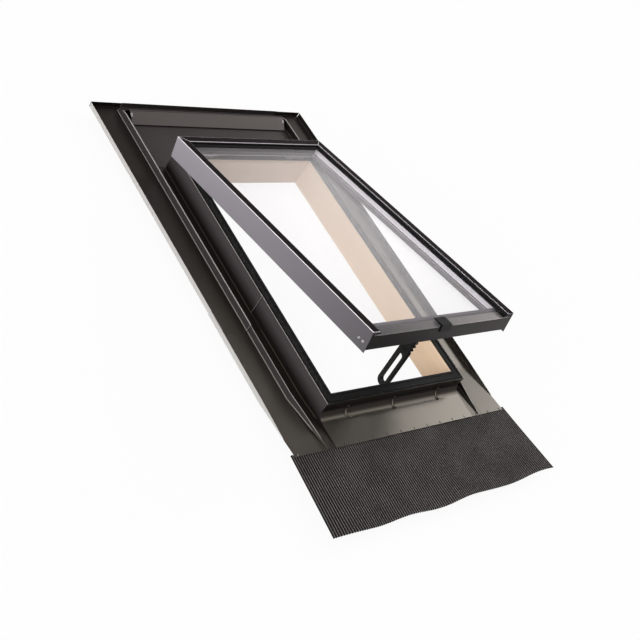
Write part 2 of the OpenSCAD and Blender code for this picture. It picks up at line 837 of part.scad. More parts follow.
module glass_spacer() {
    inset = 3;
    mid = (inner_front + glass_rear) / 2;
    color(steel) on_sash() translate([0, mid, 0])
        ring(glass_half - inset, (glass_rear - inner_front) / 2 - inset, spacer_w, cavity_z, outer_z);
}

module glazing_gasket() {
    lip_in = sash_half - sash_face_w;
    head_in = sash_rear - head_face_w;
    bead_w = 2.5;
    bead_top = sash_top - 2;
    color(rubber) on_sash() {
        difference() {
            block([-glass_half, sash_front + over, glass_top], [glass_half, glass_rear, lip_z]);
            block([-lip_in + gasket_foot, sash_front - over, glass_top - over],
                [lip_in - gasket_foot, head_in - head_gasket_foot, lip_z + over]);
        }
        difference() {
            block([-lip_in, sash_front + over, glass_top], [lip_in, head_in, bead_top]);
            block([-lip_in + bead_w, sash_front - over, glass_top - over],
                [lip_in - bead_w, head_in - bead_w, bead_top + over]);
        }
    }
}

module glass_clip() {
    t = 2.5;
    drop = 16;
    line = [
        [sash_front + front_rail_d, glass_top], [sash_front, glass_top], [sash_front, glass_top - drop]
    ];
    color(black_plastic) on_sash() along_x(clip_w) sheet_outline(line, -t);
}

module sash_seal() {
    out = rim_inset + seal_out + seal_w + ridge_gap;
    hx = half_w + out;
    hy = half_l + out;
    color(rubber) on_sash() difference() {
        ring(hx, hy, seal_w, rim_top + seal_air, ledge_z);
        for (h = [-1, 1]) translate([h * hinge_x, 0, 0])
            block([-sash_knuckle_l / 2 - over, 0, rim_top - over],
                [sash_knuckle_l / 2 + over, out_l, ledge_z + over]);
    }
}

// Stay

module stay_catch() {
    color(steel) difference() {
        union() {
            block([-catch_half, -half_l, peg_z - 8], [catch_half, -half_l + catch_t, peg_z + 12]);
            for (s = [-1, 1]) translate([s * (ear_x + ear_t / 2), 0, 0]) along_x(ear_t) {
                translate([peg_y, peg_z]) circle(ear_r);
                patch([-half_l + catch_t / 2, peg_z - ear_r], [peg_y, peg_z + ear_r]);
            }
        }
        translate([0, peg_y, peg_z]) rotate([0, 90, 0])
            cylinder(h = 2 * catch_half, r = peg_r + run_gap, center = true);
        block([-catch_half, -out_l, -over], [catch_half, -half_l, board_above]);
        at_catch_screws() screw_hole(catch_t + over);
    }
}

module catch_peg() {
    color(steel) translate([0, peg_y, peg_z]) headed_pin(peg_r, ear_x + ear_t, peg_r - 0.4);
}

module catch_screws() {
    color(steel) at_catch_screws() screw(13);
}

module stay_bracket() {
    wide = 44;
    deep = 20;
    color(steel) on_sash() difference() {
        union() {
            block([-wide / 2, front_ledge_in - deep, ledge_z - leaf_t], [wide / 2, front_ledge_in, ledge_z]);
            for (s = [-1, 1]) translate([s * (ear_x + ear_t / 2), 0, 0]) along_x(ear_t) {
                translate(pivot_shut) circle(ear_r);
                patch([pivot_shut[0] - ear_r, pivot_shut[1]], [pivot_shut[0] + ear_r, ledge_z - leaf_t / 2]);
            }
        }
        block([-ear_x, front_ledge_in - deep + 3, ledge_z - leaf_t - over],
            [ear_x, front_ledge_in + over, ledge_z + over]);
        translate([0, pivot_shut[0], pivot_shut[1]]) rotate([0, 90, 0])
            cylinder(h = wide, r = pivot_r + run_gap, center = true);
        at_stay_bracket_screws() screw_hole(leaf_t + over);
    }
}

module stay_pivot_pin() {
    color(steel) on_sash() translate([0, pivot_shut[0], pivot_shut[1]])
        headed_pin(pivot_r, ear_x + ear_t, pivot_r + 1.4);
}

module stay_bracket_screws() {
    color(steel) on_sash() at_stay_bracket_screws() screw(leaf_t + sash_wall - fit_air);
}

function arc(c, r, a0, a1) =
    [for (k = [0:12]) let (a = a0 + (a1 - a0) * k / 12) c + r * [cos(a), sin(a)]];

module stay_outline() {
    foot = [stay_mid, foot_z];
    foot_r = stay_w / 2;
    hook_angle = 180 + asin((foot_z - hook_top) / foot_r);
    polygon(concat(
        arc([0, 0], eye_r, 205, 60),
        [[stay_w * 0.4, 0], [stay_w * 0.8, -12], [stay_out, -34]],
        arc(foot, foot_r, 0, -90),
        [[hook_tip, foot_z - foot_r], [hook_tip, hook_top]],
        arc(foot, foot_r, hook_angle, 180),
        [[stay_in, -24]]
    ));
}

module stay_slot() {
    for (z = [slot_foot_z, slot_foot_z + slot_l - slot_w]) translate([stay_mid, z]) circle(slot_w / 2);
    patch([stay_mid - slot_w / 2, slot_foot_z], [stay_mid + slot_w / 2, slot_foot_z + slot_l - slot_w]);
}

module stay_lever() {
    pocket = 1.2;
    pocket_foot = [stay_mid - 6, -92];
    pocket_head = [stay_mid + 9, -38];
    color(black_plastic) on_stay() difference() {
        along_x(stay_t) stay_outline();
        along_x(2 * stay_t) stay_slot();
        rotate([0, 90, 0]) cylinder(h = 2 * stay_t, r = pivot_r + run_gap, center = true);
        for (k = [0:3]) translate([0, stay_in + 0.6, notch_top - k * notch_pitch]) rotate([0, 90, 0])
            cylinder(h = 2 * stay_t, r = notch_r, center = true);
        for (s = [-1, 1]) translate([s * stay_t / 2, 0, 0]) along_x(2 * pocket)
            patch(pocket_foot, pocket_head);
    }
}

side_board_left();
side_board_right();
head_board();
sill_board();
rim_seal();
side_flashing_left_upper();
side_flashing_right_upper();
side_flashing_left_lower();
side_flashing_right_lower();
head_flashing();
head_bar();
sill_flashing();
apron();
seam_clips();
mounting_brackets();
bracket_screws();
hinge_frame_leaf_left();
hinge_frame_leaf_right();
hinge_pin_left();
hinge_pin_right();
hinge_frame_screws();
stay_catch();
catch_peg();
catch_screws();
sash_side_left();
sash_side_right();
sash_head_rail();
sash_sill_rail();
corner_keys();
corner_cleats();
corner_rivets();
glass_outer();
glass_inner();
glass_spacer();
glazing_gasket();
glass_clip();
sash_seal();
hinge_sash_leaf_left();
hinge_sash_leaf_right();
hinge_sash_screws();
stay_bracket();
stay_pivot_pin();
stay_bracket_screws();
stay_lever();
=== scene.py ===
import math

import bmesh
import bpy
from mathutils import Matrix, Vector


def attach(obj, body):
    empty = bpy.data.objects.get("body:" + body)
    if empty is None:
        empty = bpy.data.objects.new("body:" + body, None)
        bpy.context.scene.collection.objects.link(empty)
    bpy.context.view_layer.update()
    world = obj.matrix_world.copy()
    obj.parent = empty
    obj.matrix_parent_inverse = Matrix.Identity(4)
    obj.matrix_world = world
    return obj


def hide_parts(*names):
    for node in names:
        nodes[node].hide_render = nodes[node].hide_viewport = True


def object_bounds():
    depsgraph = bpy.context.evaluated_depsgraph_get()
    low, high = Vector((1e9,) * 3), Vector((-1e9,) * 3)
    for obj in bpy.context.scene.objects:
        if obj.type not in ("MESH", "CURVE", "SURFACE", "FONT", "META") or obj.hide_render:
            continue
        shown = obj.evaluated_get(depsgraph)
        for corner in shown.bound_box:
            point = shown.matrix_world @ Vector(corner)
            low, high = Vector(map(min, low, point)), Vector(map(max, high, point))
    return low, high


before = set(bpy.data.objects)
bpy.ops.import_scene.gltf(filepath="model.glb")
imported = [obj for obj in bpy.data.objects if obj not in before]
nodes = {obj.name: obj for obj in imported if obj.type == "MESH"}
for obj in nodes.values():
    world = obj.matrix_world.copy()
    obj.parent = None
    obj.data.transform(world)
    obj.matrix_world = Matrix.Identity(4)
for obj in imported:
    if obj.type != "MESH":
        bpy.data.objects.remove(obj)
cad_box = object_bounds()
scene = bpy.context.scene
MM = 0.001


def srgb(r, g, b):
    """A colour as it shows on a screen, from 0 to 255, as linear values."""
    def linear(c):
        return c / 255 / 12.92 if c <= 10 else ((c / 255 + 0.055) / 1.055) ** 2.4
    return (linear(r), linear(g), linear(b), 1.0)


def toned(colour, factor):
    """A colour made darker or lighter."""
    return tuple(factor * c for c in colour[:3]) + (1.0,)


class Wire:
    """A socket of a node tree. Arithmetic on it adds Math nodes."""

    def __init__(self, tree, socket):
        self.tree = tree
        self.socket = socket

    def math(self, operation, first, second=0.0, third=0.0):
        return self.tree.node("Math", {"operation": operation}, {0: first, 1: second, 2: third})

    def __add__(self, other):
        return self.math("ADD", self, other)

    def __radd__(self, other):
        return self.math("ADD", other, self)

    def __sub__(self, other):
        return self.math("SUBTRACT", self, other)

    def __rsub__(self, other):
        return self.math("SUBTRACT", other, self)

    def __mul__(self, other):
        return self.math("MULTIPLY", self, other)

    def __rmul__(self, other):
        return self.math("MULTIPLY", other, self)

    def __truediv__(self, other):
        return self.math("DIVIDE", self, other)

    def __pow__(self, other):
        return self.math("POWER", self, other)

    def __abs__(self):
        return self.math("ABSOLUTE", self)

    def above(self, limit):
        return self.math("GREATER_THAN", self, limit)

    def below(self, limit):
        return self.math("LESS_THAN", self, limit)

    def most(self, limit):
        return self.math("MINIMUM", self, limit)

    def least(self, limit):
        return self.math("MAXIMUM", self, limit)

    def within(self, limits):
        return self.above(limits[0]) * self.below(limits[1])

    def share(self):
        return self.least(0.0).most(1.0)

    def sine(self):
        return self.math("SINE", self)

    def cosine(self):
        return self.math("COSINE", self)

    def whole(self):
        return self.math("FLOOR", self)

    def remainder(self):
        return self.math("FRACT", self)

    def power_of_e(self):
        return self.math("EXPONENT", self)


class Tree:
    """The nodes of one material, of the world or of a shape rule."""

    def __init__(self, owner, tree):
        self.owner = owner
        self.tree = tree
        tree.nodes.clear()

    def node(self, kind, settings=None, sockets=None, out=0):
        known = kind.startswith(("Geometry", "Function", "NodeGroup"))
        made = self.tree.nodes.new(kind if known else "ShaderNode" + kind)
        for key, value in (settings or {}).items():
            if key == "stops":
                ramp = made.color_ramp
                while len(ramp.elements) < len(value):
                    ramp.elements.new(0.5)
                for element, (place, colour) in zip(ramp.elements, value):
                    element.position = place
                    element.color = colour
            else:
                setattr(made, key, value)
        for key, value in (sockets or {}).items():
            if isinstance(value, Wire):
                self.tree.links.new(value.socket, made.inputs[key])
            else:
                made.inputs[key].default_value = value
        return Wire(self, made.outputs[out]) if len(made.outputs) else made

    def place(self, scale=(1, 1, 1)):
        """Object coordinates, in metres, stretched."""
        here = self.node("TexCoord", out="Object")
        return self.node("Mapping", {}, {"Vector": here, "Scale": scale})

    def split(self, vector):
        return [self.node("SeparateXYZ", {}, {0: vector}, out=k) for k in range(3)]

    def axes(self):
        """Object coordinates as x, y and z."""
        return self.split(self.node("TexCoord", out="Object"))

    def facing(self):
        """The way the surface faces, as x, y and z."""
        return self.split(self.node("TexCoord", out="Normal"))

    def noise(self, scale, detail, stretch=(1, 1, 1)):
        return self.node("TexNoise", {}, {"Vector": self.place(stretch), "Scale": scale, "Detail": detail})

    def ramp(self, value, stops):
        return self.node("ValToRGB", {"stops": stops}, {0: value})

    def mix(self, factor, first, second):
        return self.node("Mix", {"data_type": "RGBA"}, {0: factor, 6: first, 7: second}, out=2)

    def bump(self, height, strength, distance):
        return self.node("Bump", {}, {"Height": height, "Strength": strength, "Distance": distance})

    def surface(self, shader, into="OutputMaterial"):
        self.node(into, {}, {"Surface": shader})
        return self.owner


def finish(name):
    """The empty tree of a new material."""
    material = bpy.data.materials.new(name)
    material.use_nodes = True
    return Tree(material, material.node_tree)


# Finishes

# Where the folds of the sheets lie, in metres: half widths across, and heights above the battens
FLANGE_FROM = 0.3
RIB_FACE = (0.24, 0.29)
RIB = (0.245, 0.27)
RIB_CREST = (0.019, 0.024)
RIB_FOOT_TOP = 0.012
CLADDING_FACE = (0.205, 0.235)
CLADDING_EDGE = (0.222, 0.226)
CLADDING_EDGE_FROM = 0.0589
CLADDING_FOOT, CLADDING_FADE = 0.014, 0.03
STRIP_FROM = 0.265
# Where the painted reflection on the outer strips begins along y, and over what length it grows.
STRIP_REFLECTION_FROM, STRIP_REFLECTION_LENGTH = -0.02, 0.4
SILL_TO = 0.225
RIB_LAP_Y, RIB_LAP_EDGE_Y = -0.127, -0.1249
CLADDING_LAP_Y, CLADDING_LAP_EDGE_Y = -0.0795, -0.078

SHEET_BACK = srgb(172, 170, 168)
# Colours of painted light on the sheets: edge highlights, lap highlights, the lap shadow, and painted
# reflections on the outer strips and the cove.
EDGE_HIGHLIGHT = (0.4, 0.37, 0.36, 1)
LAP_EDGE = (0.4, 0.37, 0.38, 1)
LAP_SHADOW = (0.001, 0.001, 0.001, 1)
STRIP_REFLECTION = (0.03, 0.026, 0.024, 1)
COVE_REFLECTION = (0.028, 0.0225, 0.02, 1)


def sheet_coating(name, colour, gloss_tint):
    """Coil coated sheet: near black gloss with a pale back, and painted light: lighter outward faces on the
    ribs and cladding, painted highlights along the bends and lap edges, painted reflections on the outer
    strips and the sill cove, and painted shadow lines at the laps.
    """
    t = finish(name)
    cloud = t.noise(9.0, 4.0)
    streak = t.noise(60.0, 3.0, (1.0, 0.06, 1.0))
    grain = t.noise(700.0, 2.0)
    shade = cloud * 0.7 + streak * 0.3
    coat = t.mix(shade, toned(colour, 0.7), toned(colour, 1.3))
    x, y, z = t.axes()
    out_x, out_y, out_z = t.facing()
    outward = x * out_x
    back = outward.above(FLANGE_FROM)
    rib_side = outward.within(RIB_FACE)
    clad_side = outward.within(CLADDING_FACE)
    rib_near = abs(x).within(RIB)
    # Painted highlights: pale lines along the rib crests, the rib feet and the top edge of the cladding, made
    # uneven by the grain.
    rib_crest = out_z.above(0.35) * z.within(RIB_CREST) * rib_near
    rib_foot = out_z.within((0.25, 0.97)) * outward.above(0.02) * z.below(RIB_FOOT_TOP) * rib_near
    clad_edge = z.above(CLADDING_EDGE_FROM) * abs(x).within(CLADDING_EDGE)
    edge_highlight = (rib_crest + rib_foot * 0.5 + clad_edge).most(1.0) * (0.55 + 0.5 * grain)
    # Painted reflection: the outer strips made lighter towards the front.
    strip_reflection = abs(x).above(STRIP_FROM) * ((STRIP_REFLECTION_FROM - y) / STRIP_REFLECTION_LENGTH).share()
    # Painted reflection: the front-facing slopes of the sill cove made lighter.
    cove = out_y.below(-0.25) * out_z.above(0.15) * abs(x).below(SILL_TO)
    cover = t.mix(strip_reflection, coat, STRIP_REFLECTION)
    cover = t.mix(cove, cover, COVE_REFLECTION)
    # Painted light: the outward faces of the cladding made lighter from the foot towards the top.
    cover = t.mix(clad_side * ((z - CLADDING_FOOT) / CLADDING_FADE).share(), cover, toned(colour, 11.0))
    # Painted light: the outward faces of the ribs made lighter, unevenly.
    cover = t.mix(rib_side * (0.5 + grain), cover, toned(colour, 8.0))
    cover = t.mix(edge_highlight, t.mix(back, cover, SHEET_BACK), EDGE_HIGHLIGHT)
    lap = abs(y - RIB_LAP_Y).below(0.0014) * rib_near + abs(y - CLADDING_LAP_Y).below(0.0008) * clad_side
    cover = t.mix(lap, cover, LAP_SHADOW)
    # Painted highlights: thin pale lines along the lap edges of the rib and the cladding.
    rib_lap_edge = abs(y - RIB_LAP_EDGE_Y).below(0.0007) * rib_near
    clad_lap_edge = abs(y - CLADDING_LAP_EDGE_Y).below(0.0006) * clad_side
    cover = t.mix((rib_lap_edge + clad_lap_edge) * 0.4, cover, LAP_EDGE)
    wave = t.bump(t.noise(4.0, 1.0), 0.25, 0.003)
    return t.surface(t.node("BsdfPrincipled", {}, {
        "Base Color": cover, "Roughness": 0.28 + 0.05 * shade + 0.2 * back, "IOR": 1.62,
        "Specular Tint": gloss_tint, "Normal": wave}))


def pleat_coating(name):
    """The same near black on the apron, with painted highlights along the crests of the pleats."""
    t = finish(name)
    dust = t.noise(16.0, 4.0)
    crest = t.node("Attribute", {"attribute_name": "crest"}, out="Fac")
    coat = t.mix(dust, (0.003, 0.0028, 0.0027, 1), (0.007, 0.0065, 0.0063, 1))
    # Painted highlights: pale lines along the crests of the pleats.
    coat = t.mix(crest ** 7.0 * (0.35 + dust), coat, (0.225, 0.204, 0.199, 1))
    return t.surface(t.node("BsdfPrincipled", {}, {
        "Base Color": coat, "Roughness": 0.22 + 0.12 * dust, "IOR": 1.15,
        "Specular Tint": (1.0, 0.94, 0.9, 1)}))


def flakes(t):
    """Fine flakes of a metal paint, and the flakes with soft clouds over them."""
    flake = t.noise(2600.0, 1.0)
    return flake, flake * 0.55 + t.noise(7.0, 3.0) * 0.45


def sash_paint(name, colour):
    """Satin paint on the sash profiles, with painted shade that darkens it towards the front and on the top
    faces, which are metallic, and painted highlights on the bevelled edges.
    """
    t = finish(name)
    flake, shade = flakes(t)
    _, y, _ = t.axes()
    _, _, out_z = t.facing()
    top = out_z.above(0.93)
    edge = out_z.within((0.35, 0.93))
    # Painted shade: darker towards the front.
    coat = t.mix((0.45 - y * 1.2).share(), colour, toned(colour, 0.15))
    coat = t.mix(shade * 0.2, coat, (0.12, 0.11, 0.12, 1))
    # Painted shade: the top faces nearly black, and metallic.
    coat = t.mix(top, coat, (0.02, 0.0175, 0.018, 1))
    # Painted highlights on the bevelled edges.
    coat = t.mix(edge, coat, (0.95, 0.92, 0.95, 1))
    return t.surface(t.node("BsdfPrincipled", {}, {
        "Base Color": coat, "Metallic": top, "Roughness": 0.3 + 0.14 * shade,
        "Specular Tint": (0.6, 0.57, 0.58, 1), "Normal": t.bump(flake, 0.04, 0.0004)}))


def rail_paint(name, colour, front_shade_colour):
    """Metallic paint on the front rail, with painted shade on its upright face, and darker towards the left.
    """
    t = finish(name)
    flake, shade = flakes(t)
    x, _, _ = t.axes()
    _, out_y, _ = t.facing()
    coat = t.mix(shade, toned(colour, 0.88), toned(colour, 1.12))
    # Painted shade on the upright front face.
    coat = t.mix(out_y.below(-0.6), coat, front_shade_colour)
    coat = t.mix((0.55 - x * 2.6).share() * 0.85, coat, (0.004, 0.0034, 0.0032, 1))
    return t.surface(t.node("BsdfPrincipled", {}, {
        "Base Color": coat, "Metallic": 1.0, "Roughness": 0.3 + 0.14 * shade,
        "Normal": t.bump(flake, 0.04, 0.0004)}))


# Layers of the boards, in metres
BOARD_FOOT = 0.024
LAYER_HEIGHT = 0.0273
STAVE_LENGTH = 0.37


def pine(name, along):
    """Laminated pine with the grain along one axis."""
    t = finish(name)
    x, y, z = t.axes()
    run, side = (y, x) if along == "y" else (x, y)
    stretch = (1.0, 0.05, 1.0) if along == "y" else (0.05, 1.0, 1.0)
    layer = ((z + BOARD_FOOT) / LAYER_HEIGHT).whole()
    tone = t.node("TexWhiteNoise", {"noise_dimensions": "1D"}, {"W": layer + 3.0})
    sway = t.noise(9.0, 3.0, stretch)
    rings = ((z + side * 0.7 + sway * 0.05 + tone * 0.3) * 780.0).sine()
    fibre = t.noise(420.0, 4.0, stretch)
    seam = (run / STAVE_LENGTH + tone * 0.77).remainder().below(0.003)
    shade = 0.5 + 0.05 * rings + 0.3 * (fibre - 0.5) + 0.12 * (tone - 0.5)
    wood = t.ramp(shade, [
        (0.1, srgb(206, 174, 140)), (0.5, srgb(224, 198, 170)), (0.95, srgb(234, 214, 190))])
    wood = t.mix(0.25 * seam, wood, srgb(140, 104, 76))
    return t.surface(t.node("BsdfPrincipled", {}, {
        "Base Color": wood, "Roughness": 0.44 + 0.12 * fibre, "Coat Weight": 0.12, "Coat Roughness": 0.35,
        "Normal": t.bump(fibre * 0.7 + rings * 0.05, 0.08, 0.0005)}))


def black_rubber(name):
    """Matt black rubber with a little dust."""
    t = finish(name)
    dust = t.noise(70.0, 5.0)
    pore = t.noise(1500.0, 2.0)
    coat = t.mix(dust, srgb(12, 11, 11), srgb(22, 20, 20))
    return t.surface(t.node("BsdfPrincipled", {}, {
        "Base Color": coat, "Roughness": 0.6 + 0.2 * dust, "Specular IOR Level": 0.2,
        "Normal": t.bump(pore, 0.12, 0.0004)}))


def moulded_black(name):
    """Black plastic with a fine moulded grain."""
    t = finish(name)
    pore = t.noise(1900.0, 2.0)
    cloud = t.noise(40.0, 3.0)
    coat = t.mix(cloud, srgb(5, 5, 5), srgb(10, 10, 10))
    return t.surface(t.node("BsdfPrincipled", {}, {
        "Base Color": coat, "Roughness": 0.42 + 0.14 * cloud, "Specular IOR Level": 0.2,
        "Normal": t.bump(pore, 0.1, 0.0003)}))


def zinc(name):
    """Zinc plated steel with fine spangles."""
    t = finish(name)
    spangle = t.node("TexVoronoi", {}, {"Vector": t.place(), "Scale": 260.0}, out="Color")
    tone = t.node("SeparateColor", {}, {0: spangle})
    coat = t.mix(tone, srgb(165, 166, 170), srgb(206, 207, 210))
    return t.surface(t.node("BsdfPrincipled", {}, {
        "Base Color": coat, "Metallic": 1.0, "Roughness": 0.28 + 0.15 * tone}))


def grey_spacer(name):
    """Matt bar between the panes: light grey on the faces that look sideways, with painted shade on all other
    faces, those of the head and sill lengths and those against the panes.
    """
    t = finish(name)
    cloud = t.noise(30.0, 3.0)
    pore = t.noise(900.0, 1.0)
    out_x, _, _ = t.facing()
    coat = t.mix(cloud * 0.6 + pore * 0.4, srgb(205, 201, 208), srgb(226, 222, 229))
    # Painted shade on the faces that don't look sideways.
    coat = t.mix(abs(out_x).below(0.5), coat, srgb(92, 87, 94))
    return t.surface(t.node("BsdfPrincipled", {}, {"Base Color": coat, "Roughness": 0.5 + 0.1 * cloud}))


def clear_glass(name):
    """Clear panes: mirror gloss that grows towards a grazing view, and see-through otherwise."""
    t = finish(name)
    grazing = t.node("LayerWeight", {}, {"Blend": 0.5}, out="Facing")
    gloss = 0.05 + 0.7 * grazing ** 5.0 + 0.004 * t.noise(14.0, 4.0)
    return t.surface(t.node("BsdfPrincipled", {}, {
        "Base Color": (1.0, 0.96, 0.98, 1), "Metallic": 1.0, "Roughness": 0.02, "Alpha": gloss}))


sheet_coat = sheet_coating("dark_sheet_coating", (0.0045, 0.0039, 0.0041), (1, 0.86, 0.68, 1))
# Painted light: the head flashing and head bar take a lighter copy of the same sheet coating.
lighter_head_coat = sheet_coating("head_sheet_coating_lighter", (0.03, 0.0245, 0.0245), (1, 0.87, 0.83, 1))
apron_coat = pleat_coating("apron_coating")
sash_coat = sash_paint("sash_paint", (0.28, 0.259, 0.287, 1))
rail_coat = rail_paint("front_rail_paint", (0.34, 0.305, 0.302), (0.03, 0.024, 0.023, 1))
pine_y = pine("pine_side_boards", "y")
pine_x = pine("pine_cross_boards", "x")
rubber = black_rubber("seal_rubber")
plastic = moulded_black("black_moulding")
steel = zinc("zinc_steel")
spacer = grey_spacer("spacer_bar")
glass = clear_glass("clear_glass")

DRESS = {
    pine_y: ["side_board_left", "side_board_right"],
    pine_x: ["head_board", "sill_board"],
    rubber: ["rim_seal", "glazing_gasket", "sash_seal"],
    sheet_coat: [
        "side_flashing_left_upper", "side_flashing_right_upper", "side_flashing_left_lower",
        "side_flashing_right_lower", "sill_flashing", "seam_clips"],
    lighter_head_coat: ["head_flashing", "head_bar"],
    apron_coat: ["apron"],
    sash_coat: ["sash_side_left", "sash_side_right", "sash_head_rail"],
    rail_coat: ["sash_sill_rail"],
    steel: [
        "mounting_brackets", "bracket_screws", "hinge_frame_leaf_left", "hinge_frame_leaf_right",
        "hinge_pin_left", "hinge_pin_right", "hinge_frame_screws", "stay_catch", "catch_peg", "catch_screws",
        "corner_keys", "corner_cleats", "corner_rivets", "hinge_sash_leaf_left", "hinge_sash_leaf_right",
        "hinge_sash_screws", "stay_bracket", "stay_pivot_pin", "stay_bracket_screws"],
    glass: ["glass_outer", "glass_inner"],
    spacer: ["glass_spacer"],
    plastic: ["glass_clip", "stay_lever"],
}
for material, names in DRESS.items():
    for name in names:
        nodes[name].data.materials.clear()
        nodes[name].data.materials.append(material)


# Pieces

def baked(thing):
    """The mesh of an object with its modifiers applied."""
    bpy.context.view_layer.update()
    return bpy.data.meshes.new_from_object(thing.evaluated_get(bpy.context.evaluated_depsgraph_get()))


def as_piece(name, source, body, replaced, smooth=30.0):
    """Turns an object with its modifiers into a plain mesh that moves with a body and stands for a solid."""
    mesh = baked(source)
    mesh.name = name
    bpy.data.objects.remove(source)
    piece = bpy.data.objects.new(name, mesh)
    scene.collection.objects.link(piece)
    mesh.polygons.foreach_set("use_smooth", [True] * len(mesh.polygons))
    mesh.set_sharp_from_angle(angle=math.radians(smooth))
    level = piece.modifiers.new("level", "WEIGHTED_NORMAL")
    level.keep_sharp = True
    level.weight = 90
    piece.data = baked(piece)
    piece.modifiers.remove(level)
    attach(piece, body)
    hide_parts(replaced)


def face_width(face):
    """About how wide a long face is."""
    return face.calc_area() / max(edge.calc_length() for edge in face.edges)


def eased(node, body, radius):
    """A copy of a solid with rounded long edges, less so on thin walls, so that they catch the light."""
    mesh = nodes[node].data.copy()
    bm = bmesh.new()
    bm.from_mesh(mesh)
    bmesh.ops.remove_doubles(bm, verts=bm.verts, dist=1e-6)
    bmesh.ops.dissolve_limit(bm, angle_limit=math.radians(0.5), verts=bm.verts, edges=bm.edges)
    weight = bm.edges.layers.float.new("bevel_weight_edge")
    sharp = math.radians(40)
    for edge in bm.edges:
        if len(edge.link_faces) == 2 and edge.calc_length() > 12 * MM and edge.calc_face_angle() > sharp:
            thin = min(face_width(face) for face in edge.link_faces)
            edge[weight] = min(1.0, 0.42 * thin / radius)
    bm.to_mesh(mesh)
    bm.free()
    source = bpy.data.objects.new("eased", mesh)
    scene.collection.objects.link(source)
    ease = source.modifiers.new("ease", "BEVEL")
    ease.width = radius
    ease.segments = 3
    ease.limit_method = "WEIGHT"
    ease.use_clamp_overlap = False
    as_piece(node + "_eased", source, body, node)


def rounded(corners, steps=5):
    """A folded line given as corners of x, z and bend radius."""
    line = [Vector(corners[0][:2])]
    for before, here, after in zip(corners, corners[1:], corners[2:]):
        corner = Vector(here[:2])
        to_start, to_end = Vector(before[:2]) - corner, Vector(after[:2]) - corner
        reach = min(here[2], 0.49 * to_start.length, 0.49 * to_end.length)
        start, end = corner + to_start.normalized() * reach, corner + to_end.normalized() * reach
        for k in range(steps + 1):
            f = k / steps
            line.append(start * (1 - f) ** 2 + corner * (2 * f * (1 - f)) + end * f * f)
    return line + [Vector(corners[-1][:2])]


# Sizes of the folded sheets, in millimetres
SHEET_T = 0.8
APRON_T = 0.6
RIB_X = 263.0
OUTER_EDGE_X = 339.8
HEAD_EDGE_X = 244.0
STAND_TOP = 60.0
HEAD_Y = 585.0
RIB_FADE_Y = 536.0
RAMP_Y = -313.0
FLANGE_END_Y = -413.0
SEAM_Y = -458.0


def side_sheet(node, side, stations, head_edge=()):
    """A side sheet laid through its sections, with soft bends at the gutter, the rib and the outer edge."""
    verts, faces = [], []
    for y, floor, stand, stand_top, rib, rib_half, rib_top, edge, edge_top in stations:
        top = max(rib_top, floor + 0.05)
        foot = min(3.0, 0.45 * (top - floor))
        line = rounded([
            (stand, max(stand_top, floor + 0.1), 0), (stand, floor, 3.0), (rib - rib_half, floor, foot),
            (rib - rib_half, top, rib_half), (rib + rib_half, top, rib_half), (rib + rib_half, floor, foot),
            (edge, floor, 2.0), (edge, max(edge_top, floor + 0.1), 0)])
        verts += [(side * point.x * MM, y * MM, point.y * MM) for point in line]
        across = len(line)
    for row in range(len(stations) - 1):
        for k in range(across - 1):
            i = row * across + k
            quad = (i, i + 1, i + across + 1, i + across)
            faces.append(quad if side > 0 else quad[::-1])
    for k, point in enumerate(head_edge):
        i = len(verts)
        verts += [(side * x * MM, point.x * MM, point.y * MM) for x in (HEAD_EDGE_X, OUTER_EDGE_X)]
        if k:
            quad = (i - 2, i - 1, i + 1, i)
            faces.append(quad if side > 0 else quad[::-1])
    mesh = bpy.data.meshes.new(node)
    mesh.from_pydata(verts, [], faces)
    mesh.materials.append(sheet_coat)
    source = bpy.data.objects.new(node + "_source", mesh)
    scene.collection.objects.link(source)
    wall = source.modifiers.new("wall", "SOLIDIFY")
    wall.thickness = SHEET_T * MM
    wall.offset = 0.0
    as_piece(node + "_folded", source, "frame", node, 35.0)


def between(first, last, count):
    """Evenly spaced values, both ends among them."""
    return [first + (last - first) * k / (count - 1) for k in range(count)]


def upper_stations():
    """Sections of an upper side sheet, from the lap to the head, where the rib runs out."""
    floor, crest = 3.2, 22.2

    def row(y, stand_top, rib_top):
        return (y, floor, 224.2, stand_top, RIB_X, 1.3, rib_top, OUTER_EDGE_X, 16.8)
    out = [row(y, 5.8, crest) for y in between(-125.5, -78.5, 4)]
    out += [row(y, STAND_TOP, crest) for y in between(-78.45, 376.3, 12)]
    out += [row(y, 0.0, crest) for y in between(376.35, RIB_FADE_Y, 5)]
    for a in range(9, 91, 9):
        turn = math.radians(a)
        out.append(row(RIB_FADE_Y + 42.0 * math.sin(turn), 0.0, floor + (crest - floor) * math.cos(turn)))
    return out + [row(HEAD_Y, 0.0, 0.0)]


def lower_stations():
    """Sections of a lower side sheet, from the seam up the ramp to the lap."""
    def row(y, stand_top):
        down = max(0.0, (RAMP_Y - y) / 145.0)
        floor = 2.4 + 14.2 * down
        rib_top = 20.6 - max(0.0, (-356.5 - y) / 98.5) * 2.6 if y > -454.0 else 0.0
        edge_top = 16.0 - max(0.0, min(1.0, (RAMP_Y - y) / 100.0)) * 2.4 if y > FLANGE_END_Y else 0.0
        return (y, floor, 223.4, stand_top, RIB_X - 15.0 * down, 0.5, rib_top, 340.6, edge_top)
    low = between(SEAM_Y, FLANGE_END_Y - 0.05, 8) + between(FLANGE_END_Y, -375.6, 6)
    high = between(-375.5, RAMP_Y, 6) + between(-300.0, -70.5, 7)
    return [row(y, 0.0) for y in low] + [row(y, STAND_TOP) for y in high]


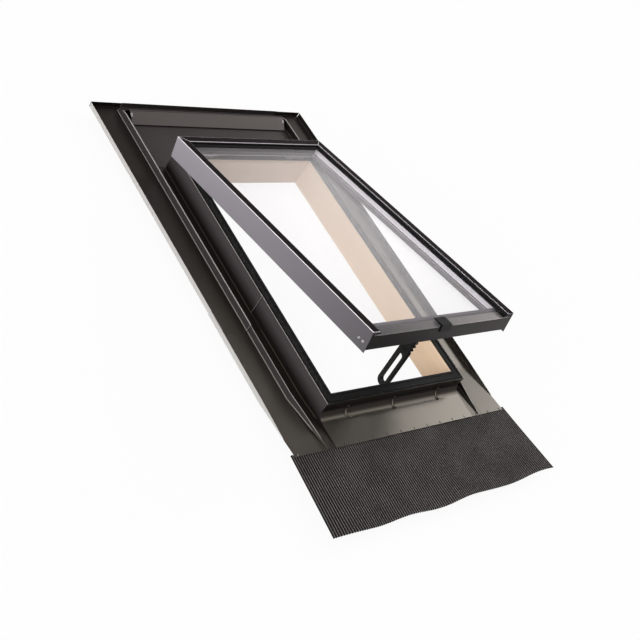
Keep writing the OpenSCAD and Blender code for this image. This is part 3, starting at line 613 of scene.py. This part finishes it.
def pleated_apron():
    """The apron as one rule: a sheet that widens and sways as it comes down, laid in rounded pleats."""
    rule = bpy.data.node_groups.new("pleated_sheet", "GeometryNodeTree")
    sizes = {
        "Pleats": 110, "Pleat height": 3.4, "Unevenness": 0.06,
        "Top": -450.0, "Length": 195.0, "Height": 13.1,
        "Start left": -346.0, "Start right": 353.0, "Foot left": -351.0, "Foot right": 386.0}
    for name in sizes:
        rule.interface.new_socket(name, in_out="INPUT", socket_type="NodeSocketFloat")
    rule.interface.new_socket("Sheet", in_out="OUTPUT", socket_type="NodeSocketGeometry")
    t = Tree(rule, rule)
    taken = rule.nodes.new("NodeGroupInput")
    put = {name: Wire(t, taken.outputs[name]) for name in sizes}
    columns = put["Pleats"] * 8.0 + 1.0
    grid = t.node("GeometryNodeMeshGrid", {}, {
        "Size X": 1.0, "Size Y": 1.0, "Vertices X": columns, "Vertices Y": 26})
    across, down, _ = t.split(t.node("GeometryNodeInputPosition"))
    u = across + 0.5
    v = 0.5 - down
    x = (put["Start left"] + (put["Foot left"] - put["Start left"]) * v) * (1.0 - u) + (
        put["Start right"] + (put["Foot right"] - put["Start right"]) * v) * u
    turn = math.pi / 180
    spot = t.node("CombineXYZ", {}, {0: u * 60.0, 1: v * 1.5, 2: 3.0})
    uneven = (t.node("TexNoise", {}, {"Vector": spot, "Scale": 1.0, "Detail": 2.0}) - 0.5) * put["Unevenness"]
    fold = ((u * put["Pleats"] * 2.0 + uneven) * math.pi).cosine() * -0.5
    sway = v * v * (3.0 * (x * (1.1 * turn) + 40 * turn).sine() + 2.0 * (x * (2.3 * turn)).sine())
    edge = v * (8.0 * (x / 341.0).least(0.0) + 2.5 * (x * (1.58 * turn) - 58 * turn).sine())
    height = put["Height"] - 4.0 * v + sway + fold * put["Pleat height"] * (1.0 + uneven)
    there = t.node("CombineXYZ", {}, {
        0: x * MM, 1: (put["Top"] - put["Length"] * v + edge) * MM, 2: height * MM})
    marked = t.node("GeometryNodeStoreNamedAttribute", {"data_type": "FLOAT"}, {
        "Geometry": grid, "Name": "crest", "Value": fold + 0.5})
    laid = t.node("GeometryNodeSetPosition", {}, {"Geometry": marked, "Position": there})
    real = t.node("GeometryNodeRealizeInstances", {}, {0: laid})
    clad = t.node("GeometryNodeSetMaterial", {}, {"Geometry": real, "Material": apron_coat})
    t.node("NodeGroupOutput", {}, {"Sheet": clad})
    source = bpy.data.objects.new("apron_source", bpy.data.meshes.new("apron_source"))
    scene.collection.objects.link(source)
    made = source.modifiers.new("pleats", "NODES")
    made.node_group = rule
    for item in rule.interface.items_tree:
        if item.in_out == "INPUT":
            made[item.identifier] = float(sizes[item.name])
    wall = source.modifiers.new("wall", "SOLIDIFY")
    wall.thickness = APRON_T * MM
    wall.offset = 0.0
    as_piece("apron_pleats", source, "frame", "apron", 80.0)


pleated_apron()
for way, side in (("left", -1), ("right", 1)):
    head_edge = rounded([(HEAD_Y, 3.2, 0), (587.4, 3.2, 2.0), (587.4, 16.8, 0)])
    side_sheet("side_flashing_" + way + "_upper", side, upper_stations(), head_edge)
    side_sheet("side_flashing_" + way + "_lower", side, lower_stations())
for node in ("head_flashing", "head_bar", "sill_flashing"):
    eased(node, "frame", 0.6 * MM)
for node in ("sash_side_left", "sash_side_right", "sash_head_rail", "sash_sill_rail"):
    eased(node, "sash", 1.5 * MM)
eased("stay_lever", "stay", 1.5 * MM)
eased("glass_clip", "sash", 1.0 * MM)
for node in ("side_board_left", "side_board_right", "head_board", "sill_board"):
    eased(node, "frame", 1.8 * MM)


# Studio

def white_ground():
    """A pale floor under the part. It looks white, and keeps a faint shadow."""
    z = cad_box[0].z - 0.5 * MM
    mesh = bpy.data.meshes.new("floor")
    mesh.from_pydata([(-9, -9, z), (9, -9, z), (9, 9, z), (-9, 9, z)], [], [(0, 1, 2, 3)])
    floor = bpy.data.objects.new("floor", mesh)
    scene.collection.objects.link(floor)
    t = finish("white_floor")
    seen = t.node("LightPath", out="Is Camera Ray")
    mirrored = t.node("LightPath", out="Is Glossy Ray")
    through = t.node("LightPath", out="Is Transmission Ray")
    mesh.materials.append(t.surface(t.node("MixShader", {}, {
        0: (seen + mirrored + through).most(1.0) * 0.93,
        1: t.node("BsdfDiffuse", {}, {"Color": (0.86, 0.86, 0.86, 1)}),
        2: t.node("Emission", {}, {"Color": (1, 1, 1, 1), "Strength": 1.0})})))


# Soft lights round the part: azimuth, height and half width in degrees, and radiance
LIGHTS = [
    (-2, 36, 9.0, 4.2), (17, 31, 7.0, 12.0), (-24, 48, 9.0, 1.6), (42, 12, 10.5, 1.2),
    (-22, 25, 10.5, 0.45), (190, 20, 24.0, 6.2), (270, 25, 24.0, 0.2), (82, 65, 14.0, 2.0),
]


def studio_world():
    """White for the camera. It lights the part, and shows in its gloss, as a dim room with soft lights."""
    world = bpy.data.worlds.new("studio")
    scene.world = world
    world.use_nodes = True
    t = Tree(world, world.node_tree)
    x, y, z = t.split(t.node("TexCoord", out="Generated"))
    room = 0.03
    for azimuth, height, half_width, radiance in LIGHTS:
        turn, rise = math.radians(azimuth), math.radians(height)
        sharp = math.log(2) / (1 - math.cos(math.radians(half_width)))
        level = math.cos(rise)
        near = x * (level * math.cos(turn)) + y * (level * math.sin(turn)) + z * math.sin(rise)
        room = room + radiance * ((near - 1.0) * sharp).power_of_e()
    seen = t.node("LightPath", out="Is Camera Ray")
    t.surface(t.node("Background", {}, {
        "Color": (1, 1, 1, 1), "Strength": seen + (1.0 - seen) * room}), "OutputWorld")


def photo_camera():
    """The camera, solved from the straight edges of the part."""
    up = Vector((0.08761, 0.77111, 0.63064))
    ahead = Vector((0.68091, 0.41574, -0.60293))
    up = (up - ahead * up.dot(ahead)).normalized()
    right = ahead.cross(up)
    lens = bpy.data.cameras.new("camera")
    lens.sensor_width = 36.0
    lens.lens = 62.16
    lens.clip_end = 60.0
    eye = bpy.data.objects.new("camera", lens)
    eye.matrix_world = Matrix.Translation(Vector((-1803.0, -1197.5, 1565.0)) * MM) @ Matrix(
        (right, up, -ahead)).transposed().to_4x4()
    scene.collection.objects.link(eye)
    scene.camera = eye


white_ground()
studio_world()
photo_camera()
scene.view_settings.view_transform = "Standard"
